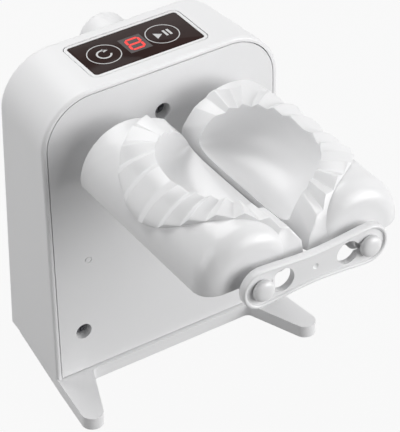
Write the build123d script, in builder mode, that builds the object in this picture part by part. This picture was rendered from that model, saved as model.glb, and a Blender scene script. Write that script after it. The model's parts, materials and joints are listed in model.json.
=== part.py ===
from build123d import *
from math import cos, pi, radians, sin, sqrt, tan
import os

os.makedirs("parts", exist_ok=True)

# X runs to the right across the front, Y towards the back and Z up.
# Everything is drawn with the front panel's outer face at y = 0 and the foot pads on z = 0.
# The saved parts are moved along Y, so that the origin lies under the middle of the object.

# Rollers
roller_radius = 22.0
roller_length = 91.4
roller_nose_radius = 8.5
roller_gap = 0.4
roller_end_gap = 0.3
flat_drop = 1.55
axis_z = 114.67
shaft_radius = 3.0
shaft_flat_cut = 0.5
running_clearance = 0.05
fixed_clearance = 0.05

# Mould bowl, a straight lip beside the nip and an arch over the top
rim_half_length = 32.3
rim_shift = 1.4
rim_power = 2.25
rim_low_angle = 22.0
rim_high_angle = 106.5
lip_angle = 12.5
lip_height = 2.1
bowl_half_turn = 70.5
bowl_clear = 24.0
bowl_stations = (-0.985, -0.95, -0.87, -0.74, -0.55, -0.3, 0.0, 0.3, 0.55, 0.74, 0.87, 0.95, 0.985)

# Raised border round the bowl, pleated over the arch
border_half_length = 48.7
border_shift = 2.6
border_power = 1.66
border_low_angle = 6.4
border_high_angle = 161.4
border_rear_margin = 0.45
border_front_margin = 3.6
plain_front_angle = 38.0
plain_rear_angle = 52.0
pleat_count = 12
pleat_reach = 66.0
pleat_slowing = 0.2
pleat_crest = 2.6
pleat_valley = 0.4
pleat_rise = 0.4
pleat_root = 2.5

# Drive hub and hexagonal dog
hub_radius = 9.0
hub_length = 10.2
dog_radius = 5.6
dog_length = 8.6
dog_clearance = 0.15
dog_wall = 2.4
hub_pin_radius = 1.0

# Link bar and end pins
link_half_height = 8.8
link_thick = 3.8
link_rim = 1.7
link_recess = 0.9
neck_radius = 2.5
neck_clearance = 0.08
pin_head_radius = 4.6
pin_head_height = 3.4
pin_shoulder_radius = 4.1
pin_shoulder_length = 3.4
pin_gap = 0.3
pin_tail = 10.0
pin_boss_wall = 3.5
keyhole_clearance = 0.6
keyhole_offset = 9.8

# Gears
gear_teeth = 40
pinion_teeth = 10
gear_width = 5.6
gear_hub_radius = 6.0
gear_hub_length = 1.2
tooth_share = 0.39
pressure_angle = 20.0
addendum = 0.9
dedendum = 1.2
pinion_angle = -72.0

# Housing
side_room = 32.5
top_room = 33.73
corner_radius = 24.0
wall = 2.4
rim = 2.1
rear_room = 0.9
rear_lean = 9.0
side_taper = 0.079
front_edge_radius = 1.3
rear_edge_radius = 2.4

# Front panel
panel_thick = 2.6
panel_gap = 0.4
ledge_depth = 2.2
ledge_width = 2.4
dimple_margin = 18.5
dimple_z = 64.7
dimple_radius = 1.7

# Base plate and toes
base_top = 6.5
pad_proud = 0.5
base_front = 1.8
base_front_proud = 0.1
base_rear_inset = 2.7
base_rear_margin = 0.9
toe_inset = 2.2
toe_y = 25.6
toe_radius = 4.9
toe_root_width = 16.9
toe_fillet = 3.0
pad_radius = 3.5
pad_thick = 1.5
rear_pad_inset = 7.0
rear_pad_margin = 6.0

# Gear plate, bushes and posts
plate_thick = 2.5
plate_margin = 5.0
post_radius = 3.5
post_margin = 16.5
post_drop = 38.67
post_rise = 11.33
bush_radius = 5.0
bush_flange = 0.9
bush_flange_rim = 1.6
bush_boss_wall = 3.0
bush_boss_length = 6.4
flange_gap = 0.3

# Screws
screw_radius = 1.45
screw_hole_radius = 1.6
small_head_radius = 2.8
small_head_height = 1.9
screw_clearance = 0.05
recess_margin = 1.0
recess_depth = 5.2
recess_floor = 1.8
recess_wall = 1.6
screw_top_drop = 22.8
screw_low_margin = 14.4
screw_low_z = 27.7
screw_length = 9.0
boss_radius = 4.0
base_screw_front_y = 10.0
base_screw_rear_margin = 11.9
base_head_sink = 2.6

# Gear motor
gearbox_radius = 10.0
gearbox_length = 9.0
can_radius = 8.6
can_length = 12.6
can_gap = 1.8
motor_shaft_radius = 1.5
motor_boss_radius = 3.2
motor_screw_offset = 6.6
motor_screw_radius = 1.0

# Touch panel on top
lens_length = 53.0
lens_width = 24.2
lens_thick = 0.8
lens_corner = 1.6
lens_ledge = 3.6
frame_border = 1.6
frame_thick = 1.4
frame_corner = 3.4
fit_gap = 0.3
skirt_wall = 1.5
skirt_depth = 4.4
board_thick = 1.4
display_length = 12.6
display_width = 10.0
under_lens = 0.2
touch_x = 14.6
touch_radius = 5.6

# Battery and charging inlet
cell_radius = 9.2
cell_length = 65.0
cell_y = 24.0
cradle_floor = 2.0
cradle_wall = 2.2
contact_thick = 0.6
inlet_x = 0.5
inlet_drop = 11.9
inlet_boss_radius = 11.5
inlet_boss_length = 11.1
inlet_half_width = 4.47
inlet_half_height = 1.63
inlet_length = 8.0
charge_board_thick = 1.2
charge_board_half = 6.5
charge_board_length = 7.0
shelf_thick = 1.5
wire_radius = 0.6

# The rollers' pleats just clear each other, and the gears and the housing follow from them
axis_spacing = 2 * (roller_radius + pleat_crest + roller_gap)
axis_x = axis_spacing / 2
width = axis_spacing + 2 * side_room
height = axis_z + top_room
gear_module = axis_spacing / gear_teeth
gear_radius = gear_module * gear_teeth / 2
pinion_radius = gear_module * pinion_teeth / 2
pinion_x = -axis_x + (gear_radius + pinion_radius) * cos(radians(pinion_angle))
pinion_z = axis_z + (gear_radius + pinion_radius) * sin(radians(pinion_angle))

# Stack from the front panel to the back
plate_front = panel_thick + can_gap + can_length + gearbox_length
plate_back = plate_front + plate_thick
gear_front = plate_back + bush_flange + gear_hub_length + flange_gap + 0.1
gear_back = gear_front + gear_width
depth_top = gear_back + rear_room + wall
depth_bottom = depth_top + rear_lean
rear_slope = rear_lean / (height - base_top)

# Stack from the front panel to the front
hub_back = bush_flange + flange_gap
hub_front = hub_back + hub_length
roller_back = hub_front + roller_end_gap
roller_front = roller_back + roller_length
roller_middle = (roller_back + roller_front) / 2
rim_middle = roller_middle - rim_shift
border_middle = roller_middle - border_shift
shoulder_front = roller_front + pin_shoulder_length
link_back = shoulder_front + pin_gap
link_front = link_back + link_thick
pin_head_back = link_front - link_recess + pin_gap
keyhole_radius = pin_head_radius + keyhole_clearance
keyhole_x = axis_x - keyhole_offset

# Places that follow from the housing
panel_low = base_top + panel_gap
recess_radius = small_head_radius + recess_margin
screw_top_z = height - screw_top_drop
screw_low_x = width / 2 - screw_low_margin
dimple_x = width / 2 - dimple_margin
post_x = width / 2 - post_margin
post_low_z = axis_z - post_drop
post_high_z = axis_z + post_rise
base_rear = depth_bottom - base_rear_margin
base_front_half = width / 2 + base_front_proud
base_rear_half = width / 2 - side_taper * base_rear - base_rear_inset
toe_x = width / 2 - toe_inset
toe_root = base_front_half - toe_root_width
rear_pad_x = base_rear_half - rear_pad_inset
rear_pad_y = base_rear - rear_pad_margin
control_y = depth_top / 2
frame_length = lens_length + 2 * frame_border
frame_width = lens_width + 2 * frame_border
window_length = lens_length - 2 * lens_ledge
window_width = lens_width - 2 * lens_ledge
board_top = height - frame_thick - skirt_depth
under_lens_z = height - lens_thick - under_lens
cell_z = base_top + cradle_floor + cell_radius + fit_gap
inlet_z = height - inlet_drop
inlet_boss_end = depth_top + inlet_boss_length
middle_y = (inlet_boss_end - pin_head_back - pin_head_height) / 2


def front_plane(y):
    """A plane facing the front, with X to the right and Z up."""
    return Plane(origin=(0, y, 0), x_dir=(1, 0, 0), z_dir=(0, -1, 0))


def half_width(y):
    return width / 2 - side_taper * y


def rear_inner(z):
    """Where the inner face of the rear wall lies at a height."""
    return depth_top + (height - z) * rear_slope - wall * sqrt(1 + rear_slope**2)


def arch(inset, y, low, taper_y=0.0):
    """The housing's arched outline, set in by a margin, on a plane at y."""
    half = half_width(taper_y) - inset
    top = height - inset
    with BuildSketch(front_plane(y)) as outline:
        with Locations((0, (top + low) / 2)):
            Rectangle(2 * half, top - low)
        fillet(outline.vertices().group_by(Axis.Y)[-1], corner_radius - inset)
    return outline.sketch


def shaft_outline(radius, flat):
    """A round outline with one flat, for a shaft or the hole that takes it."""
    with BuildSketch(Plane.XY) as outline:
        Circle(radius)
        with Locations((0, flat + radius)):
            Rectangle(4 * radius, 2 * radius, mode=Mode.SUBTRACT)
    return outline.sketch


def gear_outline(teeth, turn):
    """Straight-flanked teeth round a circle, one tooth at the angle given."""
    pitch_radius = gear_module * teeth / 2
    half_tooth = tooth_share * pi * gear_module / 2
    slope = tan(radians(pressure_angle))
    tip = pitch_radius + addendum * gear_module
    root = pitch_radius - dedendum * gear_module
    tip_angle = (half_tooth - addendum * gear_module * slope) / tip
    root_angle = (half_tooth + dedendum * gear_module * slope) / root
    points = []
    for tooth in range(teeth):
        middle = radians(turn) + 2 * pi * tooth / teeth
        for radius, angle in ((root, -root_angle), (tip, -tip_angle), (tip, tip_angle), (root, root_angle)):
            points.append((radius * cos(middle + angle), radius * sin(middle + angle)))
    with BuildSketch(Plane.XY) as outline:
        with BuildLine():
            Polyline(*points, close=True)
        make_face()
    return outline.sketch


def at_plane(sketch, x, z, y):
    """Put a flat outline on the front-facing plane at y, centred at x and z."""
    return front_plane(y) * Pos(x, z) * sketch


def save(part, name):
    """Write a part with the origin moved under the middle of the whole object."""
    placed = Pos(0, -middle_y, 0) * part
    placed.label = name
    export_step(placed, f"parts/{name}.step")


rear_plane = Plane(origin=(0, depth_top, height), x_dir=(1, 0, 0), z_dir=(0, 1, rear_slope))
loft_depth = depth_bottom + 4
panel_screws_at = [(0, screw_top_z), (-screw_low_x, screw_low_z), (screw_low_x, screw_low_z)]
posts_at = [(x, z) for x in (-post_x, post_x) for z in (post_low_z, post_high_z)]
dimples_at = [(-dimple_x, dimple_z), (dimple_x, dimple_z)]


def base_screw_x(y):
    return half_width(y) - wall - boss_radius + 0.2


base_screws_at = [
    (side * base_screw_x(y), y)
    for side in (-1, 1)
    for y in (base_screw_front_y, depth_bottom - base_screw_rear_margin)
]

# Hollow inside of the housing
with BuildPart() as housing_core:
    loft(
        [
            arch(wall, y, base_top - wall, taper_y=y)
            for y in (-wall, loft_depth)
        ],
        ruled=True,
    )
    split(bisect_by=rear_plane.offset(-wall), keep=Keep.BOTTOM)

# Housing shell
with BuildPart() as housing_shell:
    loft([arch(0, y, base_top, taper_y=y) for y in (0, loft_depth)], ruled=True)
    split(bisect_by=rear_plane, keep=Keep.BOTTOM)
    rear_face = housing_shell.faces().sort_by(Axis.Y)[-1]
    fillet(rear_face.edges().sort_by(Axis.Z)[1:], rear_edge_radius)
    front_face = housing_shell.faces().sort_by(Axis.Y)[0]
    fillet(front_face.edges().sort_by(Axis.Z)[1:], front_edge_radius)
    add(housing_core.part, mode=Mode.SUBTRACT)
    # ledge that the front panel rests against
    ledge_y = panel_thick + ledge_depth
    with BuildSketch(front_plane(ledge_y)):
        add(arch(wall / 2, ledge_y, base_top, taper_y=ledge_y))
        add(arch(wall + ledge_width, ledge_y, base_top - wall, taper_y=ledge_y), mode=Mode.SUBTRACT)
    extrude(amount=ledge_depth)
    with BuildSketch(front_plane(panel_thick)):
        add(arch(rim, panel_thick, base_top - wall))
    extrude(amount=2 * panel_thick, mode=Mode.SUBTRACT)
    # round boss on the rear wall, with the charging slot in its end
    with BuildSketch(front_plane(inlet_boss_end)):
        with Locations((inlet_x, inlet_z)):
            Circle(inlet_boss_radius)
    extrude(amount=inlet_boss_end - rear_inner(inlet_z - inlet_boss_radius))
    boss_end = housing_shell.faces().sort_by(Axis.Y)[-1]
    fillet(boss_end.edges(), rear_edge_radius)
    with BuildSketch(front_plane(inlet_boss_end - wall)):
        with Locations((inlet_x, inlet_z)):
            Circle(inlet_boss_radius - wall)
    extrude(amount=inlet_boss_end - wall - rear_inner(height), mode=Mode.SUBTRACT)
    with BuildSketch(front_plane(inlet_boss_end - wall)):
        with Locations((inlet_x, inlet_z - inlet_half_height - charge_board_thick - shelf_thick / 2)):
            Rectangle(2 * (inlet_boss_radius - wall / 2) - 2, shelf_thick)
    extrude(amount=charge_board_length)
    with BuildSketch(front_plane(inlet_boss_end + wall)):
        with Locations((inlet_x, inlet_z)):
            SlotOverall(
                2 * (inlet_half_width + screw_clearance),
                2 * (inlet_half_height + screw_clearance),
            )
    extrude(amount=3 * wall, mode=Mode.SUBTRACT)
    # seat and opening for the touch panel
    with BuildSketch(Plane.XY.offset(height - frame_thick)):
        with Locations((0, control_y)):
            RectangleRounded(frame_length + 2 * fit_gap, frame_width + 2 * fit_gap, frame_corner + fit_gap)
    extrude(amount=2 * frame_thick, mode=Mode.SUBTRACT)
    with BuildSketch(Plane.XY.offset(height - frame_thick)):
        with Locations((0, control_y)):
            Rectangle(
                window_length + 2 * (skirt_wall + fit_gap), window_width + 2 * (skirt_wall + fit_gap)
            )
    extrude(amount=-2 * wall, mode=Mode.SUBTRACT)
    # long posts behind the two lower panel screws
    for x, z in panel_screws_at[1:]:
        with BuildSketch(front_plane(rear_inner(z) + wall / 2)):
            with Locations((x, z)):
                Circle(boss_radius)
        extrude(amount=rear_inner(z) + wall / 2 - recess_depth - recess_floor)
    # boss for the upper panel screw, on a web from the roof
    with BuildSketch(front_plane(recess_depth + recess_floor + screw_length)):
        with Locations((0, screw_top_z)):
            Circle(boss_radius)
    extrude(amount=screw_length)
    with BuildSketch(front_plane(recess_depth + recess_floor + wall)):
        with Locations((0, (screw_top_z + height - wall + 0.4) / 2)):
            Rectangle(2 * boss_radius, height - wall + 0.4 - screw_top_z)
    extrude(amount=wall)
    for x, z in panel_screws_at:
        with BuildSketch(front_plane(recess_depth + recess_floor + screw_length - 0.5)):
            with Locations((x, z)):
                Circle(screw_radius + screw_clearance)
        extrude(amount=screw_length, mode=Mode.SUBTRACT)
    # corner bosses for the base screws
    with BuildSketch(Plane.XY.offset(base_top)):
        with Locations(base_screws_at):
            Circle(boss_radius)
    extrude(amount=2 * screw_length)
    with BuildSketch(Plane.XY.offset(base_top)):
        with Locations(base_screws_at):
            Circle(screw_radius + screw_clearance)
    extrude(amount=screw_length + 1, mode=Mode.SUBTRACT)
save(housing_shell.part, "housing_shell")

# Front panel
with BuildPart() as front_panel:
    with BuildSketch(front_plane(panel_thick)):
        add(arch(rim + panel_gap, panel_thick, panel_low))
    extrude(amount=panel_thick)
    with BuildSketch(front_plane(panel_thick + bush_boss_length)):
        with Locations((-axis_x, axis_z), (axis_x, axis_z)):
            Circle(bush_radius + bush_boss_wall)
    extrude(amount=bush_boss_length)
    with BuildSketch(front_plane(plate_front)):
        with Locations(posts_at):
            Circle(post_radius)
    extrude(amount=plate_front - panel_thick)
    with BuildSketch(front_plane(recess_depth + recess_floor)):
        with Locations(panel_screws_at):
            Circle(recess_radius + recess_wall)
    extrude(amount=recess_depth + recess_floor - panel_thick)
    with BuildSketch(front_plane(recess_depth)):
        with Locations(panel_screws_at):
            Circle(recess_radius)
    extrude(amount=recess_depth, mode=Mode.SUBTRACT)
    with BuildSketch(front_plane(recess_depth + recess_floor)):
        with Locations(panel_screws_at):
            Circle(screw_hole_radius)
    extrude(amount=recess_floor, mode=Mode.SUBTRACT)
    with BuildSketch(front_plane(panel_thick + bush_boss_length)):
        with Locations((-axis_x, axis_z), (axis_x, axis_z)):
            Circle(bush_radius + fixed_clearance)
    extrude(amount=panel_thick + bush_boss_length, mode=Mode.SUBTRACT)
    with BuildSketch(front_plane(plate_front)):
        with Locations(posts_at):
            Circle(screw_radius + screw_clearance)
    extrude(amount=screw_length + 1, mode=Mode.SUBTRACT)
    with BuildSketch(front_plane(0.3)):
        with Locations(dimples_at):
            Circle(dimple_radius)
            Circle(dimple_radius - 0.5, mode=Mode.SUBTRACT)
    extrude(amount=0.3, mode=Mode.SUBTRACT)
save(front_panel.part, "front_panel")

# Base plate with its two toes
pads_at = [(-toe_x, -toe_y), (toe_x, -toe_y), (-rear_pad_x, rear_pad_y), (rear_pad_x, rear_pad_y)]
with BuildPart() as base_plate:
    with BuildSketch(Plane.XY.offset(pad_proud)) as base_outline:
        with BuildLine():
            Polyline(
                (-base_front_half, -base_front),
                (base_front_half, -base_front),
                (base_rear_half, base_rear),
                (-base_rear_half, base_rear),
                close=True,
            )
        make_face()
        for side in (-1, 1):
            with BuildSketch() as toe:
                with BuildLine() as toe_edges:
                    CenterArc((side * toe_x, -toe_y), toe_radius, 0, 360)
                    Line((side * base_front_half, -base_front), (side * toe_root, -base_front))
                make_hull()
    extrude(amount=base_top - pad_proud)
    corners = base_plate.edges().filter_by(Axis.Z)
    inner = [
        edge for edge in corners
        if abs(abs(edge.center().X) - toe_root) < 0.5 and abs(edge.center().Y + base_front) < 0.5
    ]
    fillet(inner, toe_fillet)
    rear = base_plate.edges().filter_by(Axis.Z).sort_by(Axis.Y)[-2:]
    fillet(rear, toe_fillet)
    with BuildSketch(Plane.XY.offset(pad_proud)):
        with Locations(pads_at):
            Circle(pad_radius + fixed_clearance)
    extrude(amount=pad_thick - pad_proud, mode=Mode.SUBTRACT)
    with BuildSketch(Plane.XY.offset(pad_proud)):
        with Locations(base_screws_at):
            Circle(small_head_radius + fit_gap)
    extrude(amount=base_head_sink, mode=Mode.SUBTRACT)
    with BuildSketch(Plane.XY.offset(pad_proud)):
        with Locations(base_screws_at):
            Circle(screw_hole_radius)
    extrude(amount=base_top, mode=Mode.SUBTRACT)
save(base_plate.part, "base_plate")

# Foot pads
with BuildPart() as foot_pads:
    with BuildSketch(Plane.XY):
        with Locations(pads_at):
            Circle(pad_radius)
    extrude(amount=pad_thick)
save(foot_pads.part, "foot_pads")


def screw_part(places, plane_of, head_radius, head_height, radius, length):
    """Pan-head screws, each built at the origin with its head's underside on z = 0."""
    with BuildPart() as one:
        with BuildSketch(Plane.XY):
            Circle(head_radius)
        extrude(amount=head_height)
        fillet(one.faces().sort_by(Axis.Z)[-1].edges(), 0.3 * head_height)
        with BuildSketch(Plane.XY):
            Circle(radius)
        extrude(amount=-length)
        with BuildSketch(Plane.XY.offset(head_height)):
            Rectangle(1.3 * head_radius, 0.2 * head_radius)
            Rectangle(0.2 * head_radius, 1.3 * head_radius)
        extrude(amount=-0.5 * head_height, mode=Mode.SUBTRACT)
    return Compound(children=[plane_of(place) * one.part for place in places])


# Screws of the front panel, the base, the gear plate and the motor
panel_screws = screw_part(
    panel_screws_at,
    lambda place: front_plane(recess_depth) * Pos(*place),
    small_head_radius, small_head_height, screw_radius, screw_length,
)
save(panel_screws, "panel_screws")
base_screws = screw_part(
    base_screws_at,
    lambda place: Plane(origin=(*place, pad_proud + base_head_sink), z_dir=(0, 0, -1)),
    small_head_radius, small_head_height, screw_radius, screw_length + base_head_sink,
)
save(base_screws, "base_screws")
plate_screws = screw_part(
    posts_at,
    lambda place: Plane(origin=(place[0], plate_back, place[1]), z_dir=(0, 1, 0)),
    small_head_radius, small_head_height, screw_radius, screw_length,
)
save(plate_screws, "gear_plate_screws")
motor_screws_at = [
    (pinion_x + side * motor_screw_offset * sin(radians(-pinion_angle)),
     pinion_z + side * motor_screw_offset * cos(radians(-pinion_angle)))
    for side in (-1, 1)
]
motor_screws = screw_part(
    motor_screws_at,
    lambda place: Plane(origin=(place[0], plate_back, place[1]), z_dir=(0, 1, 0)),
    2 * motor_screw_radius, small_head_height - 0.6, motor_screw_radius, plate_thick + 3,
)
save(motor_screws, "motor_screws")

# Gear plate behind the panel
with BuildPart() as gear_plate:
    with BuildSketch(front_plane(plate_back)):
        with Locations((0, (post_low_z + post_high_z) / 2)):
            RectangleRounded(
                2 * (post_x + plate_margin), post_high_z - post_low_z + 2 * plate_margin, post_radius
            )
        with Locations((-axis_x, axis_z), (axis_x, axis_z)):
            Circle(bush_radius + fixed_clearance, mode=Mode.SUBTRACT)
        with Locations((pinion_x, pinion_z)):
            Circle(motor_boss_radius + fixed_clearance, mode=Mode.SUBTRACT)
        with Locations(posts_at):
            Circle(screw_hole_radius, mode=Mode.SUBTRACT)
        with Locations(motor_screws_at):
            Circle(motor_screw_radius + screw_clearance, mode=Mode.SUBTRACT)
    extrude(amount=plate_thick)
save(gear_plate.part, "gear_plate")


def bush_pair(flange_back, flange_front, sleeve_back):
    """Two flanged bushes, one on each shaft, whose flange faces the front or the back."""
    with BuildPart() as pair:
        with BuildSketch(front_plane(flange_back)):
            with Locations((-axis_x, axis_z), (axis_x, axis_z)):
                Circle(bush_radius + bush_flange_rim)
        extrude(amount=flange_back - flange_front)
        with BuildSketch(front_plane(sleeve_back[0])):
            with Locations((-axis_x, axis_z), (axis_x, axis_z)):
                Circle(bush_radius)
        extrude(amount=sleeve_back[0] - sleeve_back[1])
        with BuildSketch(front_plane(flange_back + 2 * bush_boss_length)):
            with Locations((-axis_x, axis_z), (axis_x, axis_z)):
                Circle(shaft_radius + running_clearance)
        extrude(amount=4 * bush_boss_length, mode=Mode.SUBTRACT)
    return pair.part


# Bushes in the panel, flanged in front, and in the gear plate, flanged behind
save(bush_pair(0, -bush_flange, (panel_thick + bush_boss_length, 0)), "panel_bushes")
save(bush_pair(plate_back + bush_flange, plate_back, (plate_back, plate_front - bush_flange)), "plate_bushes")

# Shafts: a flat runs the whole length, and a groove holds the clip
shaft_front = 2.0 - hub_front
keyed_length = -hub_back - shaft_front
clip_thick = 0.6
shaft_back = gear_back + clip_thick + 0.5
groove_depth = 0.5


def shaft(x):
    with BuildPart() as bar:
        with BuildSketch(front_plane(shaft_back)):
            with Locations((x, axis_z)):
                Circle(shaft_radius)
        extrude(amount=shaft_back - shaft_front)
        chamfer(bar.edges().filter_by(GeomType.CIRCLE), 0.3)
        for back, length in (
            (shaft_back, shaft_back - gear_front + gear_hub_length),
            (-hub_back, keyed_length),
        ):
            with BuildSketch(front_plane(back)):
                with Locations((x, axis_z + 2 * shaft_radius - shaft_flat_cut)):
                    Rectangle(4 * shaft_radius, 2 * shaft_radius)
            extrude(amount=length, mode=Mode.SUBTRACT)
        with BuildSketch(front_plane(gear_back + clip_thick + 0.05)):
            with Locations((x, axis_z)):
                Circle(2 * shaft_radius)
                Circle(shaft_radius - groove_depth, mode=Mode.SUBTRACT)
        extrude(amount=clip_thick + 0.05, mode=Mode.SUBTRACT)
        with BuildSketch(Plane.XY.offset(axis_z - 2 * hub_radius)):
            with Locations((x, -(hub_back + hub_front) / 2)):
                Circle(hub_pin_radius + fixed_clearance)
        extrude(amount=4 * hub_radius, mode=Mode.SUBTRACT)
    return bar.part


def drive_gear(x, turn):
    """A drive gear keyed to its shaft by the flat, with a short hub in front."""
    with BuildPart() as gear:
        with BuildSketch(front_plane(gear_back)):
            add(at_plane(gear_outline(gear_teeth, turn), x, axis_z, gear_back))
        extrude(amount=gear_width)
        with BuildSketch(front_plane(gear_front)):
            with Locations((x, axis_z)):
                Circle(gear_hub_radius)
        extrude(amount=gear_hub_length)
        for back, depth in ((gear_back, 1.2), (gear_front + 1.2, 1.2)):
            with BuildSketch(front_plane(back)):
                with Locations((x, axis_z)):
                    Circle(gear_radius - 3.5 * gear_module)
                    Circle(gear_hub_radius, mode=Mode.SUBTRACT)
            extrude(amount=depth, mode=Mode.SUBTRACT)
        with BuildSketch(front_plane(gear_back)):
            with Locations((x, axis_z)):
                with PolarLocations((gear_radius - 3.5 * gear_module + gear_hub_radius) / 2, 6):
                    Circle(gear_hub_radius / 2)
        extrude(amount=gear_width, mode=Mode.SUBTRACT)
        with BuildSketch(front_plane(gear_back)):
            add(
                at_plane(
                    shaft_outline(shaft_radius + fixed_clearance, shaft_radius - shaft_flat_cut + fixed_clearance),
                    x, axis_z, gear_back,
                )
            )
        extrude(amount=gear_width + gear_hub_length, mode=Mode.SUBTRACT)
    return gear.part


def gear_clip(x):
    with BuildPart() as clip:
        with BuildSketch(front_plane(gear_back + clip_thick)):
            with Locations((x, axis_z)):
                Circle(1.7 * shaft_radius)
                Circle(shaft_radius - groove_depth + fixed_clearance, mode=Mode.SUBTRACT)
            with Locations((x, axis_z - 2 * shaft_radius)):
                Rectangle(1.2 * shaft_radius, 4 * shaft_radius, mode=Mode.SUBTRACT)
        extrude(amount=clip_thick)
    return clip.part


def drive_hub(x):
    """The hub in front of the panel, with the hexagonal dog that turns the mould."""
    with BuildPart() as hub:
        with BuildSketch(front_plane(-hub_back)):
            with Locations((x, axis_z)):
                Circle(hub_radius)
        extrude(amount=hub_front - hub_back)
        fillet(hub.edges().filter_by(GeomType.CIRCLE), 0.8)
        with BuildSketch(front_plane(-hub_front)):
            with Locations((x, axis_z)):
                RegularPolygon(dog_radius, 6)
        extrude(amount=dog_length)
        chamfer(hub.faces().sort_by(Axis.Y)[0].edges(), 0.6)
        with BuildSketch(front_plane(-hub_back)):
            add(
                at_plane(
                    shaft_outline(shaft_radius + fixed_clearance, shaft_radius - shaft_flat_cut + fixed_clearance),
                    x, axis_z, -hub_back,
                )
            )
        extrude(amount=keyed_length, mode=Mode.SUBTRACT)
        with BuildSketch(Plane.XY.offset(axis_z - 2 * hub_radius)):
            with Locations((x, -(hub_back + hub_front) / 2)):
                Circle(hub_pin_radius + fixed_clearance)
        extrude(amount=4 * hub_radius, mode=Mode.SUBTRACT)
    return hub.part


def hub_pin(x):
    with BuildPart() as pin:
        with BuildSketch(Plane.XY.offset(axis_z - hub_radius + 0.3)):
            with Locations((x, -(hub_back + hub_front) / 2)):
                Circle(hub_pin_radius)
        extrude(amount=2 * hub_radius - 0.6)
    return pin.part


for side, x, turn in (("left", -axis_x, 0), ("right", axis_x, 180 / gear_teeth)):
    save(shaft(x), f"{side}_shaft")
    save(drive_gear(x, turn), f"{side}_drive_gear")
    save(gear_clip(x), f"{side}_gear_clip")
    save(drive_hub(x), f"{side}_drive_hub")
    save(hub_pin(x), f"{side}_hub_pin")


def on_mould(y, angle, lift):
    """A point over the right mould's skin, by the angle from the nip in degrees."""
    nose = max(0.0, -y - (roller_front - roller_nose_radius))
    drop = roller_nose_radius - sqrt(max(roller_nose_radius**2 - nose**2, 1.0))
    radius = roller_radius - drop + lift
    return Vector(axis_x - radius * cos(radians(angle)), y, axis_z + radius * sin(radians(angle)))


def oval(turn, power):
    """Both coordinates of a unit superellipse's upper half."""
    across = abs(cos(turn)) ** (2 / power)
    return across if cos(turn) >= 0 else -across, abs(sin(turn)) ** (2 / power)


def border_place(share, turn):
    """Y and angle, from the bowl's rim at share 0 to the border's outer edge at share 1."""
    across, out = oval(turn, rim_power)
    rim_y = -rim_middle + rim_half_length * across
    rim_angle = rim_low_angle + (rim_high_angle - rim_low_angle) * out
    across, out = oval(turn, border_power)
    edge_y = -border_middle + border_half_length * across
    edge_y = min(-roller_back - border_rear_margin, max(border_front_margin - roller_front, edge_y))
    edge_angle = border_low_angle + (border_high_angle - border_low_angle) * out
    return rim_y + (edge_y - rim_y) * share, rim_angle + (edge_angle - rim_angle) * share


def border_point(share, turn, lift):
    """A point over the right mould's border."""
    y, angle = border_place(share, turn)
    return on_mould(y, angle, lift)


def edge_turn(length):
    """The turn at a length along the border's outer edge, from the top of its arch."""
    turn, step, walked = pi / 2, 0.002 if length > 0 else -0.002, 0.0
    place = border_point(1, turn, 0)
    while walked < abs(length) and 0 < turn < pi:
        turn += step
        ahead = border_point(1, turn, 0)
        walked += (ahead - place).length
        place = ahead
    return turn


def pleat_turn(pleat):
    """The turn at a number of pleats from the top of the arch; they narrow away from it."""
    part = abs(pleat) / (pleat_count / 2)
    length = pleat_reach * ((1 + pleat_slowing) * part - pleat_slowing * part**2)
    return edge_turn(length if pleat > 0 else -length)


def pleat_section(share, before, crest, after):
    """One pleat's five-cornered section, square to the pleat's run."""
    middle = border_point(share, crest, 0)
    ahead = border_point(share + 0.02, crest, 0) - border_point(share - 0.02, crest, 0)
    upward = border_point(share, crest, 1) - middle
    across = ahead.cross(upward).normalized()
    plane = Plane(origin=middle, x_dir=across, z_dir=ahead.normalized())
    corners = []
    for turn, lift in (
        (before, -pleat_root), (before, pleat_valley), (crest, pleat_crest), (after, pleat_valley),
        (after, -pleat_root),
    ):
        local = plane.to_local_coords(border_point(share, turn, lift))
        corners.append((local.X, local.Y))
    with BuildSketch(plane) as section:
        with BuildLine():
            Polyline(*corners, close=True)
        make_face()
    return section.sketch


def bowl_section(part):
    """The bowl's cutter at one place along it: an arc between the rims, closed well above them."""
    y = -rim_middle + rim_half_length * part
    arch = 1 - abs(part) ** rim_power
    low_angle = rim_low_angle - (rim_low_angle - lip_angle) * sqrt(1 - part**6)
    high_angle = rim_low_angle + (rim_high_angle - rim_low_angle) * arch ** (1 / rim_power)
    fade = min(1.0, sqrt(arch) / 0.55)
    high_lift = lip_height * (1 - fade * fade * (3 - 2 * fade))
    low, high = on_mould(y, low_angle, lip_height), on_mould(y, high_angle, high_lift)
    top_low, top_high = on_mould(y, low_angle, bowl_clear), on_mould(y, high_angle, bowl_clear)
    outward = (top_low + top_high - low - high).normalized()
    floor = (low + high) / 2 - outward * (high - low).length / 2 * tan(radians(bowl_half_turn / 2))
    plane = front_plane(y)
    points = [plane.to_local_coords(point) for point in (low, floor, high, top_high, top_low)]
    low, floor, high, top_high, top_low = [(point.X, point.Y) for point in points]
    with BuildSketch(plane) as section:
        with BuildLine():
            ThreePointArc(low, floor, high)
            Polyline(high, top_high, top_low, low)
        make_face()
    return section.sketch


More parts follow.
